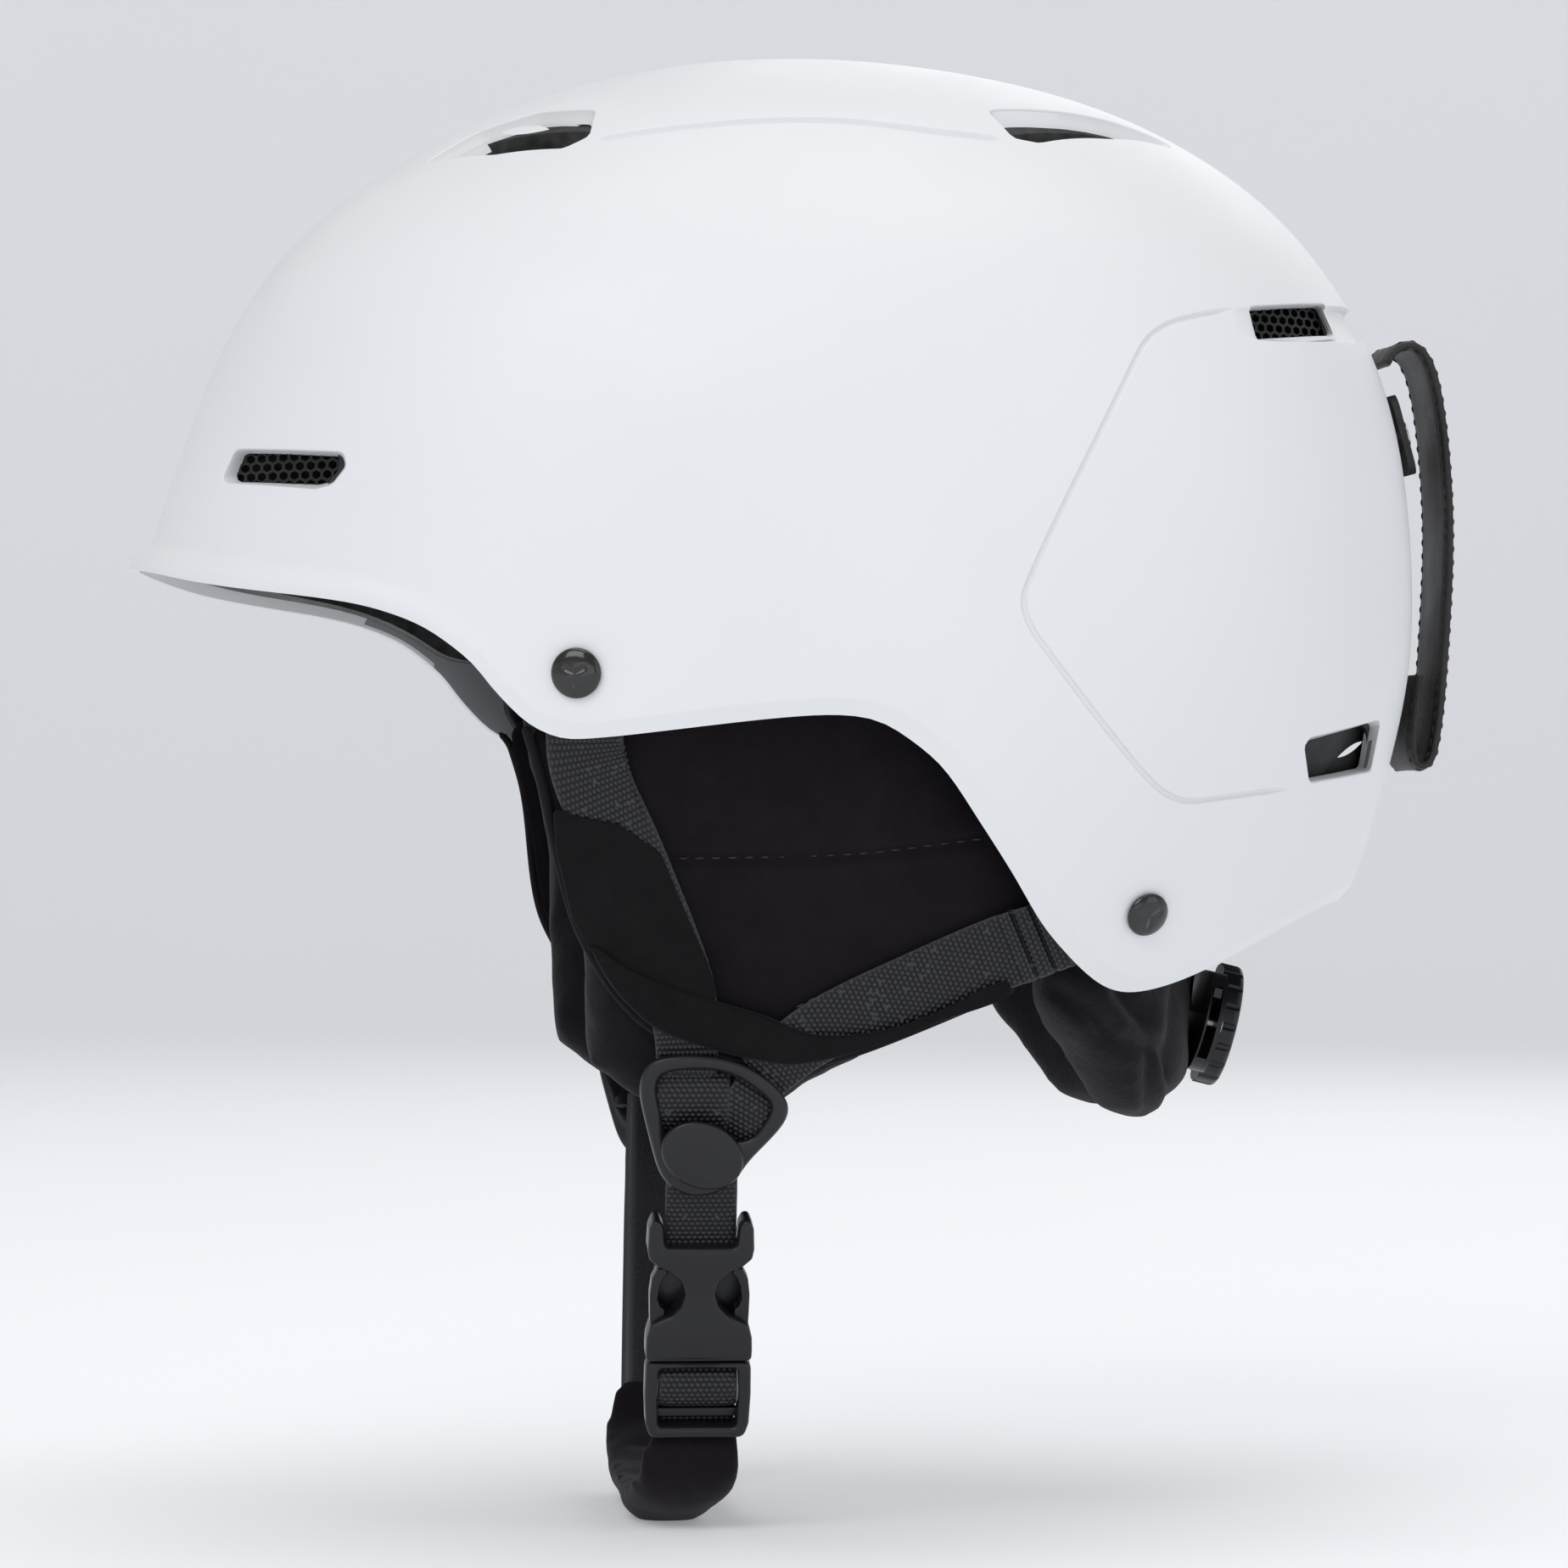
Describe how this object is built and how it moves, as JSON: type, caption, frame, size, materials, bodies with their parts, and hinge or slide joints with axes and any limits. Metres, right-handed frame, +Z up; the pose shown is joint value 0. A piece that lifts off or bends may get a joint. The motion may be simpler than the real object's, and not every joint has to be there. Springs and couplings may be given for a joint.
{
  "type": "ski helmet",
  "caption": "Hard-shell ski helmet with foam liner, side and crown vents, soft ear pads, dial-adjusted nape cradle, goggle strap retainer and padded chin strap with side-release buckle.",
  "frame": {"origin": "centre of the head opening at brow level, where the head carries the helmet", "axes": "+X towards the back of the head, +Y towards the wearer's right, +Z up"},
  "size_m": [0.2901, 0.215, 0.3182],
  "materials": {
    "shell": "matt white moulded polycarbonate with a soft sheen",
    "foam": "black expanded foam",
    "grille": "moulded mesh",
    "fleece": "brushed fleece",
    "softshell": "smooth knitted soft-shell",
    "webbing": "ribbed nylon webbing",
    "charcoal_plastic": "satin acetal",
    "rivet_black": "glossy domed cap",
    "leather": "grained synthetic leather",
    "steel": "plated steel"
  },
  "bodies": {
    "helmet": {"outer_shell": "shell", "eps_liner": "foam", "vent_mesh_front": "grille", "vent_mesh_rear": "grille", "crown_pad": "fleece", "brow_pad": "fleece", "rear_pad": "fleece", "temple_pad_left": "fleece", "temple_pad_right": "fleece", "fit_band": "charcoal_plastic", "side_strap_left": "charcoal_plastic", "side_strap_right": "charcoal_plastic", "yoke_bracket": "charcoal_plastic", "yoke_pin": "steel", "anchor_rivets_front": "rivet_black", "anchor_rivets_rear": "rivet_black", "anchor_washers": "steel", "ear_flap_left": "softshell", "ear_flap_right": "softshell", "ear_cushion_left": "fleece", "ear_cushion_right": "fleece", "front_strap_left": "webbing", "front_strap_right": "webbing", "rear_strap_left": "webbing", "rear_strap_right": "webbing", "strap_keeper_left": "softshell", "strap_keeper_right": "softshell", "strap_divider_left": "charcoal_plastic", "strap_divider_right": "charcoal_plastic", "divider_cap_left": "charcoal_plastic", "divider_cap_right": "charcoal_plastic", "chin_strap_left": "webbing", "chin_strap_right": "webbing", "buckle_socket": "charcoal_plastic", "retainer_tab": "leather", "tab_rivets": "steel", "retainer_stud": "steel"},
    "nape_cradle": {"nape_yoke": "charcoal_plastic", "nape_pad": "fleece", "dial_housing": "charcoal_plastic", "housing_cover": "charcoal_plastic", "cover_screws": "steel"},
    "dial": {"dial_knob": "charcoal_plastic", "dial_pinion": "charcoal_plastic", "dial_screw": "steel"},
    "rack_left": {"band_rack_left": "charcoal_plastic"},
    "rack_right": {"band_rack_right": "charcoal_plastic"},
    "chin_release": {"buckle_frame": "charcoal_plastic", "chin_strap_lower": "webbing", "chin_pad": "softshell"},
    "arm_front": {"buckle_arm_front": "charcoal_plastic"},
    "arm_rear": {"buckle_arm_rear": "charcoal_plastic"},
    "retainer": {"retainer_strap": "leather", "retainer_snap": "steel"}
  },
  "joints": [
    {"name": "cradle_swing", "type": "hinge", "parent": "helmet", "child": "nape_cradle", "pos_m": [0.0925, 0, -0.042], "axis": [0, 1, 0], "range_deg": [0, 10.5]},
    {"name": "dial_turn", "type": "hinge", "parent": "nape_cradle", "child": "dial", "pos_m": [0.08944, 0, -0.09343], "axis": [-0.9703, 0, 0.2419], "range_deg": [0, 119.37]},
    {"name": "rack_left_slide", "type": "slide", "parent": "nape_cradle", "child": "rack_left", "axis": [0, 1, 0], "range_m": [0, 0.0103]},
    {"name": "rack_right_slide", "type": "slide", "parent": "nape_cradle", "child": "rack_right", "axis": [0, -1, 0], "range_m": [0, 0.0103]},
    {"name": "buckle_release", "type": "slide", "parent": "helmet", "child": "chin_release", "axis": [0, 0.2756, -0.9613], "range_m": [0, 0.026], "deforming": ["chin_strap_right"]},
    {"name": "arm_front_squeeze", "type": "hinge", "parent": "chin_release", "child": "arm_front", "pos_m": [-0.0311, -0.05294, -0.16254], "axis": [0, 0.9613, 0.2756], "range_deg": [0, 9], "stiffness_Nm_per_rad": 0.12},
    {"name": "arm_rear_squeeze", "type": "hinge", "parent": "chin_release", "child": "arm_rear", "pos_m": [-0.0149, -0.05294, -0.16254], "axis": [0, -0.9613, -0.2756], "range_deg": [0, 9], "stiffness_Nm_per_rad": 0.12},
    {"name": "retainer_flip", "type": "hinge", "parent": "helmet", "child": "retainer", "pos_m": [0.1319, 0, 0.0506], "axis": [0, -1, 0], "range_deg": [0, 60]}
  ],
  "couplings": [
    {"joint": "rack_left_slide", "follows": "dial_turn", "m_per_rad": 0.0048},
    {"joint": "rack_right_slide", "follows": "dial_turn", "m_per_rad": 0.0048},
    {"joint": "cradle_swing", "follows": "dial_turn", "ratio": 0.08378}
  ]
}
